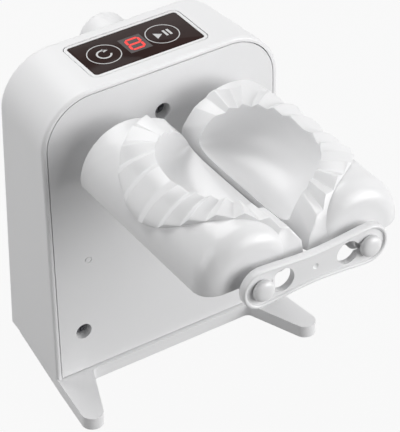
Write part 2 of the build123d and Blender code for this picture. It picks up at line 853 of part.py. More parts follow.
def plain_band(front, rear, start, stop, lift):
    """A band of even height over the right mould's skin, between two angles from the nip."""
    low = radians(start)
    band_plane = Plane(
        origin=(axis_x, 0, axis_z), x_dir=(0, -1, 0), z_dir=(-sin(low), 0, -cos(low)),
    )
    straight = roller_front - roller_nose_radius
    stops = [min(front, straight + roller_nose_radius * sin(radians(turn))) for turn in (0, 12, 24, 36, 48)]
    upper = [(stop_y, on_mould(-stop_y, 90, lift).Z - axis_z) for stop_y in stops]
    with BuildPart() as band:
        with BuildSketch(band_plane):
            with BuildLine():
                if front > straight:
                    over = [upper[0]]
                    over += [point for before, point in zip(upper, upper[1:]) if point[0] > before[0]]
                    Polyline((rear, roller_radius + lift), *over, (over[-1][0], 10), (rear, 10), close=True)
                else:
                    Polyline(
                        (rear, roller_radius + lift), (front, roller_radius + lift), (front, 10), (rear, 10),
                        close=True,
                    )
            make_face()
        revolve(axis=Axis((axis_x, 0, axis_z), (0, 1, 0)), revolution_arc=stop - start)
    return band.part


with BuildPart() as bowl_cutter:
    loft([bowl_section(part) for part in bowl_stations])

# Right mould
with BuildPart() as right_mould:
    with BuildSketch(Plane(origin=(axis_x, 0, axis_z), x_dir=(0, -1, 0), z_dir=(1, 0, 0))) as profile:
        with BuildLine():
            Polyline(
                (roller_front, 0), (roller_back, 0), (roller_back, roller_radius),
                (roller_front - roller_nose_radius, roller_radius),
            )
            RadiusArc(
                (roller_front - roller_nose_radius, roller_radius),
                (roller_front, roller_radius - roller_nose_radius),
                roller_nose_radius,
            )
            Line((roller_front, roller_radius - roller_nose_radius), (roller_front, 0))
        make_face()
    revolve(axis=Axis((axis_x, 0, axis_z), (0, -1, 0)))
    add(plain_band(
        roller_front - border_front_margin, roller_back + border_rear_margin, border_low_angle,
        plain_front_angle, lip_height,
    ))
    add(plain_band(
        rim_middle - rim_half_length / 2, roller_back + border_rear_margin, plain_front_angle - 1,
        plain_rear_angle, lip_height,
    ))
    for pleat in range(-pleat_count // 2, pleat_count // 2):
        turns = [pleat_turn(pleat + part) for part in (-0.03, pleat_rise, 1.03)]
        loft([pleat_section(share, *turns) for share in (-0.2, 0.2, 0.6, 1.0)], ruled=True)
    add(bowl_cutter.part, mode=Mode.SUBTRACT)
    split(
        bisect_by=Plane(origin=(axis_x, 0, axis_z - flat_drop), x_dir=(1, 0, 0), z_dir=(0, 0, 1)),
        keep=Keep.TOP,
    )
    # sockets at both ends, standing below the flat underside
    for back, front, radius in (
        (roller_back, hub_front + dog_length + dog_wall, dog_radius + dog_clearance + dog_wall),
        (roller_front - pin_tail - recess_wall, roller_front, neck_radius + pin_boss_wall),
    ):
        with BuildSketch(front_plane(-back)):
            with Locations((axis_x, axis_z)):
                Circle(radius)
        extrude(amount=front - back)
    with BuildSketch(front_plane(-roller_back)):
        with Locations((axis_x, axis_z)):
            RegularPolygon(dog_radius + dog_clearance, 6)
    extrude(amount=hub_front + dog_length - roller_back + fit_gap, mode=Mode.SUBTRACT)
    with BuildSketch(front_plane(pin_tail - roller_front)):
        with Locations((axis_x, axis_z)):
            Circle(neck_radius + fixed_clearance)
    extrude(amount=pin_tail, mode=Mode.SUBTRACT)
save(right_mould.part, "right_mould")

# Left mould, the right one's mirror image
with BuildPart() as left_mould:
    add(mirror(right_mould.part, about=Plane.YZ))
save(left_mould.part, "left_mould")


def round_bar(x, z, back, front, radius):
    """A round bar between two planes that face the front."""
    with BuildPart() as bar:
        with BuildSketch(front_plane(back)):
            with Locations((x, z)):
                Circle(radius)
        extrude(amount=back - front)
    return bar.part


def end_pin(x):
    """The pin at a mould's free end: tail, shoulder, neck through the link bar, and head."""
    with BuildPart() as pin:
        add(round_bar(x, axis_z, pin_tail - roller_front, -pin_head_back, neck_radius))
        add(round_bar(x, axis_z, -roller_front, -shoulder_front, pin_shoulder_radius))
        add(round_bar(x, axis_z, -pin_head_back, -pin_head_back - pin_head_height, pin_head_radius))
        fillet(pin.faces().sort_by(Axis.Y)[0].edges(), 0.35 * pin_head_height)
    return pin.part


save(end_pin(-axis_x), "left_end_pin")
save(end_pin(axis_x), "right_end_pin")

# Link bar that ties both free ends together
with BuildPart() as link_bar:
    with BuildSketch(front_plane(-link_back)):
        with Locations((0, axis_z)):
            SlotCenterToCenter(axis_spacing, 2 * link_half_height)
    extrude(amount=link_thick)
    fillet(link_bar.faces().sort_by(Axis.Y)[0].edges(), 0.6)
    fillet(link_bar.faces().sort_by(Axis.Y)[-1].edges(), 0.6)
    with BuildSketch(front_plane(-link_front)):
        with Locations((0, axis_z)):
            SlotCenterToCenter(axis_spacing, 2 * (link_half_height - link_rim))
    extrude(amount=-link_recess, mode=Mode.SUBTRACT)
    with BuildSketch(front_plane(-link_back)):
        for side in (-1, 1):
            with Locations((side * keyhole_x, axis_z)):
                Circle(keyhole_radius)
            with Locations((side * axis_x, axis_z)):
                Circle(neck_radius + neck_clearance)
            with Locations((side * (keyhole_x + axis_x) / 2, axis_z)):
                Rectangle(axis_x - keyhole_x, 2 * (neck_radius + neck_clearance))
    extrude(amount=link_thick, mode=Mode.SUBTRACT)
    with BuildSketch(front_plane(link_recess - link_front)):
        with Locations((0, axis_z)):
            Circle(dimple_radius)
    extrude(amount=-link_recess, mode=Mode.SUBTRACT)
save(link_bar.part, "link_bar")

# Gear motor in front of the gear plate
with BuildPart() as gearbox:
    add(round_bar(pinion_x, pinion_z, plate_front, plate_front - gearbox_length, gearbox_radius))
    fillet(gearbox.edges().filter_by(GeomType.CIRCLE), 0.6)
    add(round_bar(pinion_x, pinion_z, plate_back, plate_front, motor_boss_radius))
    add(round_bar(pinion_x, pinion_z, gear_back + 0.4, plate_back, motor_shaft_radius))
    for x, z in motor_screws_at:
        with BuildSketch(front_plane(plate_front)):
            with Locations((x, z)):
                Circle(motor_screw_radius + screw_clearance)
        extrude(amount=3.6, mode=Mode.SUBTRACT)
save(gearbox.part, "gearbox")
can_front = plate_front - gearbox_length - can_length
with BuildPart() as motor_can:
    add(round_bar(pinion_x, pinion_z, plate_front - gearbox_length, can_front, can_radius))
    fillet(motor_can.faces().sort_by(Axis.Y)[0].edges(), 1.2)
    add(round_bar(pinion_x, pinion_z, can_front, can_front - 1.0, 2 * motor_shaft_radius))
save(motor_can.part, "motor_can")

# Motor pinion, meshing with the left drive gear
with BuildPart() as motor_pinion:
    with BuildSketch(front_plane(gear_back + 0.4)):
        pinion = gear_outline(pinion_teeth, pinion_angle + 180 + 180 / pinion_teeth)
        add(at_plane(pinion, pinion_x, pinion_z, gear_back + 0.4))
        with Locations((pinion_x, pinion_z)):
            Circle(motor_shaft_radius + fixed_clearance, mode=Mode.SUBTRACT)
    extrude(amount=gear_width + 0.8)
save(motor_pinion.part, "motor_pinion")

# Frame of the touch panel, with a skirt that reaches down to its board
with BuildPart() as control_frame:
    with BuildSketch(Plane.XY.offset(height)):
        with Locations((0, control_y)):
            RectangleRounded(frame_length, frame_width, frame_corner)
    extrude(amount=-frame_thick)
    fillet(control_frame.faces().sort_by(Axis.Z)[-1].edges(), 0.4)
    with BuildSketch(Plane.XY.offset(height)):
        with Locations((0, control_y)):
            RectangleRounded(lens_length + 0.2, lens_width + 0.2, lens_corner + 0.1)
    extrude(amount=-lens_thick, mode=Mode.SUBTRACT)
    with BuildSketch(Plane.XY.offset(height - frame_thick)):
        with Locations((0, control_y)):
            Rectangle(window_length + 2 * skirt_wall, window_width + 2 * skirt_wall)
    extrude(amount=-skirt_depth)
    with BuildSketch(Plane.XY.offset(height)):
        with Locations((0, control_y)):
            Rectangle(window_length, window_width)
    extrude(amount=-2 * skirt_depth, mode=Mode.SUBTRACT)
save(control_frame.part, "control_frame")

# Dark lens of the touch panel
with BuildPart() as control_lens:
    with BuildSketch(Plane.XY.offset(height)):
        with Locations((0, control_y)):
            RectangleRounded(lens_length, lens_width, lens_corner)
    extrude(amount=-lens_thick)
save(control_lens.part, "control_lens")

# Board under the skirt, with the digit display and the two touch pads
with BuildPart() as control_board:
    with BuildSketch(Plane.XY.offset(board_top)):
        with Locations((0, control_y)):
            Rectangle(window_length + 2 * skirt_wall + 1, window_width + 2 * skirt_wall + 1)
    extrude(amount=-board_thick)
save(control_board.part, "control_board")
with BuildPart() as digit_display:
    with BuildSketch(Plane.XY.offset(board_top)):
        with Locations((0, control_y)):
            Rectangle(display_width, display_length)
    extrude(amount=under_lens_z - board_top)
save(digit_display.part, "digit_display")
with BuildPart() as touch_pads:
    with BuildSketch(Plane.XY.offset(board_top)):
        with Locations((-touch_x, control_y), (touch_x, control_y)):
            Circle(touch_radius)
            Circle(0.6 * touch_radius, mode=Mode.SUBTRACT)
    extrude(amount=under_lens_z - board_top)
save(touch_pads.part, "touch_pads")

# Battery cell in its cradle on the base plate
cradle_half = cell_length / 2 + contact_thick + cradle_wall
with BuildPart() as battery_cell:
    with BuildSketch(Plane(origin=(-cell_length / 2, cell_y, cell_z), z_dir=(1, 0, 0))):
        Circle(cell_radius)
    extrude(amount=cell_length)
    fillet(battery_cell.edges(), 0.8)
save(battery_cell.part, "battery_cell")
with BuildPart() as battery_cradle:
    with BuildSketch(Plane.XY.offset(base_top)):
        with Locations((0, cell_y)):
            Rectangle(2 * cradle_half, 2 * (cell_radius + fit_gap + cradle_wall))
    extrude(amount=cradle_floor + fit_gap + cell_radius)
    with BuildSketch(Plane(origin=(-cradle_half + cradle_wall, cell_y, cell_z), z_dir=(1, 0, 0))):
        Circle(cell_radius + fit_gap)
    extrude(amount=2 * (cradle_half - cradle_wall), mode=Mode.SUBTRACT)
save(battery_cradle.part, "battery_cradle")
with BuildPart() as battery_contacts:
    for back in (-cradle_half + cradle_wall, cell_length / 2):
        with BuildSketch(Plane(origin=(back, cell_y, cell_z), x_dir=(0, 1, 0), z_dir=(1, 0, 0))):
            Rectangle(cell_radius, cell_radius)
            with Locations((0, 0.75 * cell_radius)):
                Rectangle(0.5 * cell_radius, cell_radius)
        extrude(amount=contact_thick)
save(battery_contacts.part, "battery_contacts")

# Charging socket and its small board in the rear boss
socket_back = inlet_boss_end - 0.4
with BuildPart() as charge_socket:
    with BuildSketch(front_plane(socket_back)):
        with Locations((inlet_x, inlet_z)):
            SlotOverall(2 * inlet_half_width, 2 * inlet_half_height)
    extrude(amount=inlet_length)
    with BuildSketch(front_plane(socket_back)):
        with Locations((inlet_x, inlet_z)):
            SlotOverall(2 * inlet_half_width - 0.7, 2 * inlet_half_height - 0.7)
            Rectangle(inlet_half_width, 0.7, mode=Mode.SUBTRACT)
    extrude(amount=inlet_length - 1.2, mode=Mode.SUBTRACT)
save(charge_socket.part, "charge_socket")
charge_board_top = inlet_z - inlet_half_height
with BuildPart() as charge_board:
    with BuildSketch(Plane.XY.offset(charge_board_top)):
        with Locations((inlet_x, inlet_boss_end - wall - charge_board_length / 2 - 0.1)):
            Rectangle(2 * charge_board_half, charge_board_length)
    extrude(amount=-charge_board_thick)
save(charge_board.part, "charge_board")


def lead(points):
    """A wire swept along straight runs joined by arcs."""
    corners = [Vector(*point) for point in points]
    runs = [after - before for before, after in zip(corners, corners[1:])]
    radii = []
    for before, after in zip(runs, runs[1:]):
        half_turn = radians(before.get_angle(after)) / 2
        radii.append(0.45 * min(before.length, after.length) / tan(half_turn))
    with BuildPart() as wire:
        with BuildLine() as path:
            FilletPolyline(*corners, radius=radii)
        with BuildSketch(Plane(origin=corners[0], z_dir=runs[0])):
            Circle(wire_radius)
        sweep(path=path.wires()[0])
    print(
        "lead radii", [round(radius, 1) for radius in radii],
        "volume", round(wire.part.volume, 2),
        "expected", round(path.wires()[0].length * pi * wire_radius**2, 2),
    )
    return wire.part


# Leads from the battery, the motor and the charging board up to the control board
board_under = board_top - board_thick - wire_radius
contact_x = cradle_half - cradle_wall + wire_radius
wall_x = width / 2 - 8
socket_front = socket_back - inlet_length
for name, points in {
    "battery_lead_plus": [
        (contact_x, cell_y, cell_z + 7), (contact_x, cell_y, cell_z + 14), (wall_x - 6, 19, cell_z + 25),
        (wall_x, 15, axis_z - 45), (wall_x, 15, height - 26), (wall_x - 5, 15.5, height - 14),
        (wall_x - 15, 16, height - 10), (21, 18, board_under),
    ],
    "battery_lead_minus": [
        (-contact_x, cell_y, cell_z + 7), (-contact_x, cell_y, cell_z + 14),
        (6 - wall_x, 21, cell_z + 25), (-wall_x, 19, axis_z - 45), (-wall_x, 19, height - 26),
        (5 - wall_x, 19.5, height - 14), (15 - wall_x, 20, height - 10), (-21, 20, board_under),
    ],
    "motor_lead_plus": [
        (pinion_x - can_radius - wire_radius, 8, pinion_z), (pinion_x - 16, 12, pinion_z + 9),
        (pinion_x - 18, 14, pinion_z + 27), (pinion_x - 16, 14, height - 18), (-19, 14, board_under),
    ],
    "motor_lead_minus": [
        (pinion_x + can_radius + wire_radius, 8, pinion_z), (pinion_x + 13, 8, pinion_z + 7),
        (pinion_x + 14, 9, pinion_z + 20), (pinion_x + 6, 12, pinion_z + 37), (-12, 14, board_under - 4),
        (-15, 16, board_under),
    ],
    "charge_lead_plus": [
        (inlet_x + 2.5, socket_front - 1, charge_board_top + wire_radius),
        (inlet_x + 2.5, socket_front - 6, inlet_z + 1), (inlet_x + 2.5, socket_front - 11, inlet_z + 3),
        (inlet_x + 2.5, socket_front - 16, board_under),
    ],
    "charge_lead_minus": [
        (inlet_x - 2.5, socket_front - 1, charge_board_top + wire_radius),
        (inlet_x - 2.5, socket_front - 6, inlet_z + 1), (inlet_x - 2.5, socket_front - 11, inlet_z + 3),
        (inlet_x - 2.5, socket_front - 16, board_under),
    ],
}.items():
    save(lead(points), name)
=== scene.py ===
import bpy
import bmesh
import json
from math import asin, cos, degrees, pi, radians, sin, sqrt, tau
from mathutils import Matrix, Vector


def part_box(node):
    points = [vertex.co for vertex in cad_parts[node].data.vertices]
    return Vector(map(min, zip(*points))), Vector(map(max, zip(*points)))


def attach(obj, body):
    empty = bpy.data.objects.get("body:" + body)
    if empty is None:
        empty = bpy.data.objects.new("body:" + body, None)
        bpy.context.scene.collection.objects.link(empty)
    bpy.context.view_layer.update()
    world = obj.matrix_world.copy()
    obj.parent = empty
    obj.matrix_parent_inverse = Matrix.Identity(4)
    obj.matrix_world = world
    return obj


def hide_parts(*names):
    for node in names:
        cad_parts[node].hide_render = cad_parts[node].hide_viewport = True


# Everything is in metres, with X to the right across the front, Y to the back and Z up.
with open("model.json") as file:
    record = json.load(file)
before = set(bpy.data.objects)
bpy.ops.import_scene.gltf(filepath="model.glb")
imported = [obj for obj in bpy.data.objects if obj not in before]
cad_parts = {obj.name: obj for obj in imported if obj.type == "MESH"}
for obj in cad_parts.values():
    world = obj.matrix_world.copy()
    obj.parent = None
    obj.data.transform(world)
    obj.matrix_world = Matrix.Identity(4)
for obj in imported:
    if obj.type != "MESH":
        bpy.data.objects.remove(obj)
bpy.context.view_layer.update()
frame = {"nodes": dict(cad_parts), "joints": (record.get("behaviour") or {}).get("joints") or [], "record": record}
nodes = frame["nodes"]
mm = 0.001
print("stage: frame loaded,", len(nodes), "nodes")

# camera, world and lamps
cameraLook = {
    "place": (-0.4014125, -0.6320718, 0.6421806),
    "turn": (53.76082, 0.92424, -32.86207),  # degrees
    "lens": 202.468,
    "shift": (0.0058, -0.01334),
}
cameraData = bpy.data.cameras.new("photoCamera")
cameraData.sensor_fit = "HORIZONTAL"
cameraData.sensor_width = 36
cameraData.lens = cameraLook["lens"]
cameraData.shift_x, cameraData.shift_y = cameraLook["shift"]
cameraData.clip_start = 0.05
camera = bpy.data.objects.new("photoCamera", cameraData)
camera.location = cameraLook["place"]
camera.rotation_euler = [radians(angle) for angle in cameraLook["turn"]]
bpy.context.scene.collection.objects.link(camera)
bpy.context.scene.camera = camera
bpy.context.scene.view_settings.view_transform = "Standard"

studio = {
    "ambient": 0.05,
    "lamps": {
        # name: place, aim, size, watts
        "topLamp": ((0, 0.48, 0.98), (0, 0, 0.08), 0.7, 6.8),
        "frontLamp": ((0.55, -0.90, 0.52), (0, 0, 0.08), 0.8, 7.0),
        "leftLamp": ((-0.83, 0.06, 0.55), (0, 0, 0.08), 0.7, 3.3),
        "rightLamp": ((0.75, -0.75, 0.15), (0, 0, 0.08), 0.7, 7.0),
    },
    "floorWhite": 0.22,
    "floorGlow": 0.93,
    "floorSize": 3,
}


def addLamp(name, place, aim, size, watts):
    lampData = bpy.data.lights.new(name, "AREA")
    lampData.size = size
    lampData.energy = watts
    lamp = bpy.data.objects.new(name, lampData)
    lamp.location = place
    lamp.rotation_euler = (Vector(aim) - Vector(place)).to_track_quat("-Z", "Y").to_euler()
    bpy.context.scene.collection.objects.link(lamp)


for lampName, settings in studio["lamps"].items():
    addLamp(lampName, *settings)

world = bpy.data.worlds.new("studioWorld")
bpy.context.scene.world = world
world.use_nodes = True
worldTree = world.node_tree
worldTree.nodes.clear()


def addSeenRays(tree):
    # 1 for rays from the camera, and those a gloss or a glass sends on
    rays = tree.nodes.new("ShaderNodeLightPath")
    seen = tree.nodes.new("ShaderNodeMath")
    seen.operation = "MAXIMUM"
    tree.links.new(rays.outputs["Is Camera Ray"], seen.inputs[0])
    tree.links.new(rays.outputs["Is Glossy Ray"], seen.inputs[1])
    both = tree.nodes.new("ShaderNodeMath")
    both.operation = "MAXIMUM"
    tree.links.new(seen.outputs[0], both.inputs[0])
    tree.links.new(rays.outputs["Is Transmission Ray"], both.inputs[1])
    return both.outputs[0]


ambient = worldTree.nodes.new("ShaderNodeBackground")
ambient.inputs["Color"].default_value = (0.97, 0.98, 1.0, 1)
ambient.inputs["Strength"].default_value = studio["ambient"]
backdrop = worldTree.nodes.new("ShaderNodeBackground")
backdrop.inputs["Color"].default_value = (1, 1, 1, 1)
worldMix = worldTree.nodes.new("ShaderNodeMixShader")
worldOut = worldTree.nodes.new("ShaderNodeOutputWorld")
worldTree.links.new(addSeenRays(worldTree), worldMix.inputs[0])
worldTree.links.new(ambient.outputs[0], worldMix.inputs[1])
worldTree.links.new(backdrop.outputs[0], worldMix.inputs[2])
worldTree.links.new(worldMix.outputs[0], worldOut.inputs["Surface"])


# materials
def startMaterial(name):
    material = bpy.data.materials.new(name)
    material.use_nodes = True
    tree = material.node_tree
    shader = tree.nodes["Principled BSDF"]
    place = tree.nodes.new("ShaderNodeTexCoord")
    return material, tree, shader, place


def addNoise(tree, place, scale, detail=3.0, stretch=None):
    noise = tree.nodes.new("ShaderNodeTexNoise")
    noise.inputs["Scale"].default_value = scale
    noise.inputs["Detail"].default_value = detail
    if stretch:
        mapping = tree.nodes.new("ShaderNodeMapping")
        mapping.inputs["Scale"].default_value = stretch
        tree.links.new(place.outputs["Object"], mapping.inputs["Vector"])
        tree.links.new(mapping.outputs[0], noise.inputs["Vector"])
    else:
        tree.links.new(place.outputs["Object"], noise.inputs["Vector"])
    return noise.outputs["Fac"]


def addRange(tree, source, low, high, start=0.3, stop=0.7):
    ranged = tree.nodes.new("ShaderNodeMapRange")
    ranged.inputs["From Min"].default_value = start
    ranged.inputs["From Max"].default_value = stop
    ranged.inputs["To Min"].default_value = low
    ranged.inputs["To Max"].default_value = high
    tree.links.new(source, ranged.inputs["Value"])
    return ranged.outputs[0]


def addColours(tree, factor, first, second):
    mix = tree.nodes.new("ShaderNodeMix")
    mix.data_type = "RGBA"
    mix.inputs["A"].default_value = (*first, 1)
    mix.inputs["B"].default_value = (*second, 1)
    tree.links.new(factor, mix.inputs["Factor"])
    return mix.outputs["Result"]


def addBump(tree, shader, height, distance, strength=1.0):
    bump = tree.nodes.new("ShaderNodeBump")
    bump.inputs["Distance"].default_value = distance
    bump.inputs["Strength"].default_value = strength
    tree.links.new(height, bump.inputs["Height"])
    if shader.inputs["Normal"].links:
        tree.links.new(shader.inputs["Normal"].links[0].from_socket, bump.inputs["Normal"])
    tree.links.new(bump.outputs[0], shader.inputs["Normal"])


plasticLook = {
    "cloudScale": 38, "patchScale": 95, "spread": (0.1, 0.9),
    "waveScale": 24, "waveShare": 6, "waveStrength": 0.15, "ior": 1.49, "coatRoughness": 0.12,
}


def mouldedPlastic(name, colour, shade, rough, grain=2600, waviness=0.00001, coat=0.0):
    # cloudy colour, satin patches, a fine spark-eroded grain and the slow waves of a moulded wall
    look = plasticLook
    material, tree, shader, place = startMaterial(name)
    clouds = addRange(tree, addNoise(tree, place, look["cloudScale"], 2), 0, 1, *look["spread"])
    tree.links.new(addColours(tree, clouds, colour, shade), shader.inputs["Base Color"])
    patches = addRange(tree, addNoise(tree, place, look["patchScale"], 2), *rough, *look["spread"])
    tree.links.new(patches, shader.inputs["Roughness"])
    waves = addNoise(tree, place, look["waveScale"], 1)
    addBump(tree, shader, waves, waviness * look["waveShare"], look["waveStrength"])
    addBump(tree, shader, addNoise(tree, place, grain, 2), waviness)
    shader.inputs["IOR"].default_value = look["ior"]
    shader.inputs["Coat Weight"].default_value = coat
    shader.inputs["Coat Roughness"].default_value = look["coatRoughness"]
    return material


def workedMetal(name, colour, shade, rough, stretch, grain=420, depth=0.00001):
    # brushed, ground or drawn, as the stretch of its scratches says
    material, tree, shader, place = startMaterial(name)
    scratches = addNoise(tree, place, grain, 6, stretch)
    tree.links.new(addColours(tree, addRange(tree, scratches, 0, 1), colour, shade), shader.inputs["Base Color"])
    tree.links.new(addRange(tree, addNoise(tree, place, 180, 3), rough[0], rough[1]), shader.inputs["Roughness"])
    addBump(tree, shader, scratches, depth)
    shader.inputs["Metallic"].default_value = 1.0
    return material


def speckledRubber(name, colour, shade, rough, grain):
    material, tree, shader, place = startMaterial(name)
    cells = tree.nodes.new("ShaderNodeTexVoronoi")
    cells.inputs["Scale"].default_value = grain
    tree.links.new(place.outputs["Object"], cells.inputs["Vector"])
    speck = addRange(tree, cells.outputs["Distance"], 0, 1, 0.1, 0.6)
    tree.links.new(addColours(tree, speck, colour, shade), shader.inputs["Base Color"])
    tree.links.new(addRange(tree, addNoise(tree, place, 300, 3), rough[0], rough[1]), shader.inputs["Roughness"])
    addBump(tree, shader, cells.outputs["Distance"], 0.00004)
    return material


def darkLens(name):
    # smoked acrylic: a warm black with a faint streak of the polishing and a few smears
    material, tree, shader, place = startMaterial(name)
    cloud = addRange(tree, addNoise(tree, place, 60, 4, (1, 3, 1)), 0, 1)
    tree.links.new(addColours(tree, cloud, (0.024, 0.012, 0.011), (0.034, 0.018, 0.016)), shader.inputs["Base Color"])
    tree.links.new(addRange(tree, addNoise(tree, place, 120, 5), 0.05, 0.14), shader.inputs["Roughness"])
    addBump(tree, shader, addNoise(tree, place, 800, 2), 0.000002)
    shader.inputs["Specular IOR Level"].default_value = 0.03
    return material


def circuitBoard(name):
    # lacquer over copper tracks, laid out on a fine grid
    material, tree, shader, place = startMaterial(name)
    tracks = tree.nodes.new("ShaderNodeTexBrick")
    tracks.inputs["Scale"].default_value = 260
    tracks.inputs["Mortar Size"].default_value = 0.06
    tracks.inputs["Color1"].default_value = (0.012, 0.075, 0.032, 1)
    tracks.inputs["Color2"].default_value = (0.016, 0.10, 0.042, 1)
    tracks.inputs["Mortar"].default_value = (0.05, 0.20, 0.075, 1)
    tree.links.new(place.outputs["Object"], tracks.inputs["Vector"])
    tree.links.new(tracks.outputs["Color"], shader.inputs["Base Color"])
    tree.links.new(addRange(tree, addNoise(tree, place, 500, 3), 0.28, 0.42), shader.inputs["Roughness"])
    addBump(tree, shader, tracks.outputs["Fac"], 0.00003)
    return material


def glowingMark(name, colour, strength):
    # a lit segment, its glow a little uneven from place to place
    material, tree, shader, place = startMaterial(name)
    flicker = addRange(tree, addNoise(tree, place, 700, 3), 0, 1)
    tint = addColours(tree, flicker, colour, [0.8 * part for part in colour])
    tree.links.new(tint, shader.inputs["Base Color"])
    tree.links.new(tint, shader.inputs["Emission Color"])
    shader.inputs["Emission Strength"].default_value = strength
    shader.inputs["Roughness"].default_value = 0.3
    return material


finishes = {
    "white_shell": mouldedPlastic("shellPlastic", (0.84, 0.84, 0.845), (0.828, 0.828, 0.834), (0.30, 0.36)),
    "white_panel": mouldedPlastic("panelPlastic", (0.82, 0.82, 0.825), (0.808, 0.808, 0.814), (0.34, 0.40)),
    "white_roller": mouldedPlastic(
        "rollerPlastic", (0.80, 0.80, 0.805), (0.788, 0.788, 0.794), (0.27, 0.32), 1900, 0.000004, 0.1
    ),
    "pad_rubber": speckledRubber("padRubber", (0.020, 0.020, 0.022), (0.034, 0.034, 0.036), (0.75, 0.9), 1500),
    "screw_steel": workedMetal("zincSteel", (0.62, 0.62, 0.64), (0.50, 0.50, 0.53), (0.28, 0.42), (1, 1, 6)),
    "dark_screw": workedMetal("darkScrewSteel", (0.10, 0.10, 0.11), (0.16, 0.16, 0.17), (0.35, 0.5), (1, 6, 1)),
    "plate_steel": workedMetal("rolledSteel", (0.56, 0.57, 0.60), (0.47, 0.48, 0.51), (0.30, 0.45), (0.4, 1, 9)),
    "bronze": workedMetal("turnedBrass", (0.72, 0.50, 0.22), (0.60, 0.40, 0.16), (0.24, 0.36), (1, 7, 1)),
    "shaft_steel": workedMetal("groundSteel", (0.64, 0.64, 0.67), (0.53, 0.53, 0.56), (0.18, 0.3), (1, 9, 1)),
    "gear_plastic": mouldedPlastic("gearAcetal", (0.73, 0.71, 0.64), (0.68, 0.66, 0.58), (0.36, 0.46), 2200),
    "gearbox_metal": workedMetal("castMetal", (0.44, 0.45, 0.48), (0.36, 0.37, 0.40), (0.4, 0.55), (1, 1, 1), 900),
    "can_steel": workedMetal("drawnSteel", (0.62, 0.62, 0.64), (0.55, 0.55, 0.58), (0.2, 0.34), (1, 8, 1)),
    "dark_lens": darkLens("lensAcrylic"),
    "board_green": circuitBoard("circuitBoard"),
    "display_dark": mouldedPlastic("displayResin", (0.020, 0.012, 0.012), (0.028, 0.018, 0.018), (0.3, 0.42), 3000),
    "pad_spring": speckledRubber("conductiveFoam", (0.03, 0.03, 0.032), (0.055, 0.055, 0.058), (0.7, 0.9), 2400),
    "cell_wrap": mouldedPlastic("cellSleeve", (0.03, 0.13, 0.30), (0.035, 0.16, 0.35), (0.2, 0.3), 1400),
    "dark_plastic": mouldedPlastic("cradlePlastic", (0.018, 0.018, 0.020), (0.028, 0.028, 0.030), (0.4, 0.52)),
    "red_wire": mouldedPlastic("redInsulation", (0.42, 0.012, 0.010), (0.50, 0.02, 0.015), (0.36, 0.5), 1800),
    "black_wire": mouldedPlastic("blackInsulation", (0.012, 0.012, 0.013), (0.02, 0.02, 0.021), (0.36, 0.5), 1800),
}
printWhite = mouldedPlastic("printLacquer", (0.62, 0.62, 0.62), (0.55, 0.55, 0.55), (0.4, 0.5), 4000)
digitRed = glowingMark("digitRed", (0.72, 0.018, 0.012), 0.75)
slotOf = {entry["node"]: entry["material_slot"] for entry in frame["record"]["subparts"]}
for nodeName, node in nodes.items():
    node.data.materials.clear()
    node.data.materials.append(finishes[slotOf[nodeName]])
print("stage: finishes on", len(slotOf), "nodes")


# shared helpers for the new pieces
def finishPiece(bm, name, body, slotName, smoothAngle=38, material=None):
    bmesh.ops.remove_doubles(bm, verts=bm.verts, dist=0.000004)
    bmesh.ops.dissolve_degenerate(bm, edges=bm.edges, dist=0.000002)
    bmesh.ops.recalc_face_normals(bm, faces=bm.faces)
    mesh = bpy.data.meshes.new(name)
    bm.to_mesh(mesh)
    bm.free()
    mesh.materials.append(material or finishes[slotName])
    mesh.shade_smooth()
    mesh.set_sharp_from_angle(angle=radians(smoothAngle))
    piece = bpy.data.objects.new(name, mesh)
    bpy.context.scene.collection.objects.link(piece)
    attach(piece, body)
    return piece


# mould rollers
rollerLook = {
    "axis": frame["joints"][1]["pos_m"],
    # lengths in mm, angles in degrees from the nip over the top
    "radius": 22.0, "rear": 19.5, "front": -71.9, "nose": 8.5, "flat": 1.55, "flatRound": 0.4,
    "rearSocket": (8.15, 10.7), "frontSocket": (6.0, 11.6), "socketInset": 0.02,  # radius and depth
    # the bowl's rim: an arch over the top and a straight lip along the nip
    "rimMiddle": -24.8, "rimHalf": 32.3, "rimPower": 2.25, "rimLow": 22.0, "rimRise": 84.5, "lipDrop": 9.5,
    "bowlTurn": 70.5, "bowlCentre": 58.0,
    # the outer edge of the raised border
    "edgeMiddle": -23.6, "edgeHalf": 48.7, "edgePower": 1.66, "edgeLow": 6.4, "edgeRise": 155.0,
    "edgeRear": 19.3, "edgeFront": -71.6, "edgeSteps": 900,
    "skinCorners": (52, 132),  # turns that run to the far corners of the skin
    # heights over the skin
    "lip": 2.1, "lipFade": 0.55, "crest": 2.55, "rimCrest": 2.0, "valley": 0.35,
    "blockCorner": 21.0, "cornerLift": 2.75, "blockLift": 2.4,  # the plain blocks at the border's ends
    # the pleats: how many, how far they go each way, and where in a pitch the crest is
    "pleats": 12, "pleatReach": {"rear": 71.0, "front": 66.0}, "slowing": 0.2, "crestAt": 0.39, "tipCut": 0.09,
    "lastRiser": (0.03, 0.07, 0.2, 0.33, 0.36), "riserSpan": 0.38, "riserEnd": 0.4,
    # across the border: its start and end, the step up at the rim, and shares of the fall at the outer edge
    "bandStart": 0.012, "bandEnd": 0.994, "rimStep": 0.85, "edgeFall": ((0.45, 0.93), (0.75, 0.60)),
}
# height of one pleat along its pitch, from the rear to the front: a riser, a thin crest and a slower fall
pleatSteps = [
    (0.00, 0.02), (0.03, 0.075), (0.07, 0.175), (0.20, 0.50), (0.33, 0.825), (0.37, 0.925), (0.39, 0.97),
    (0.405, 0.975), (0.43, 0.945), (0.47, 0.883), (0.68, 0.533), (0.90, 0.167), (0.96, 0.067),
]
bowlRows = [sin(pi / 2 * step / 26) for step in range(27)]
bandRows = [0.03, 0.08, 0.15, 0.25, 0.37, 0.50, 0.63, 0.75, 0.85, 0.93, 1.0]
bodyRows = 18
nipColumns = 60
plainColumns = 14


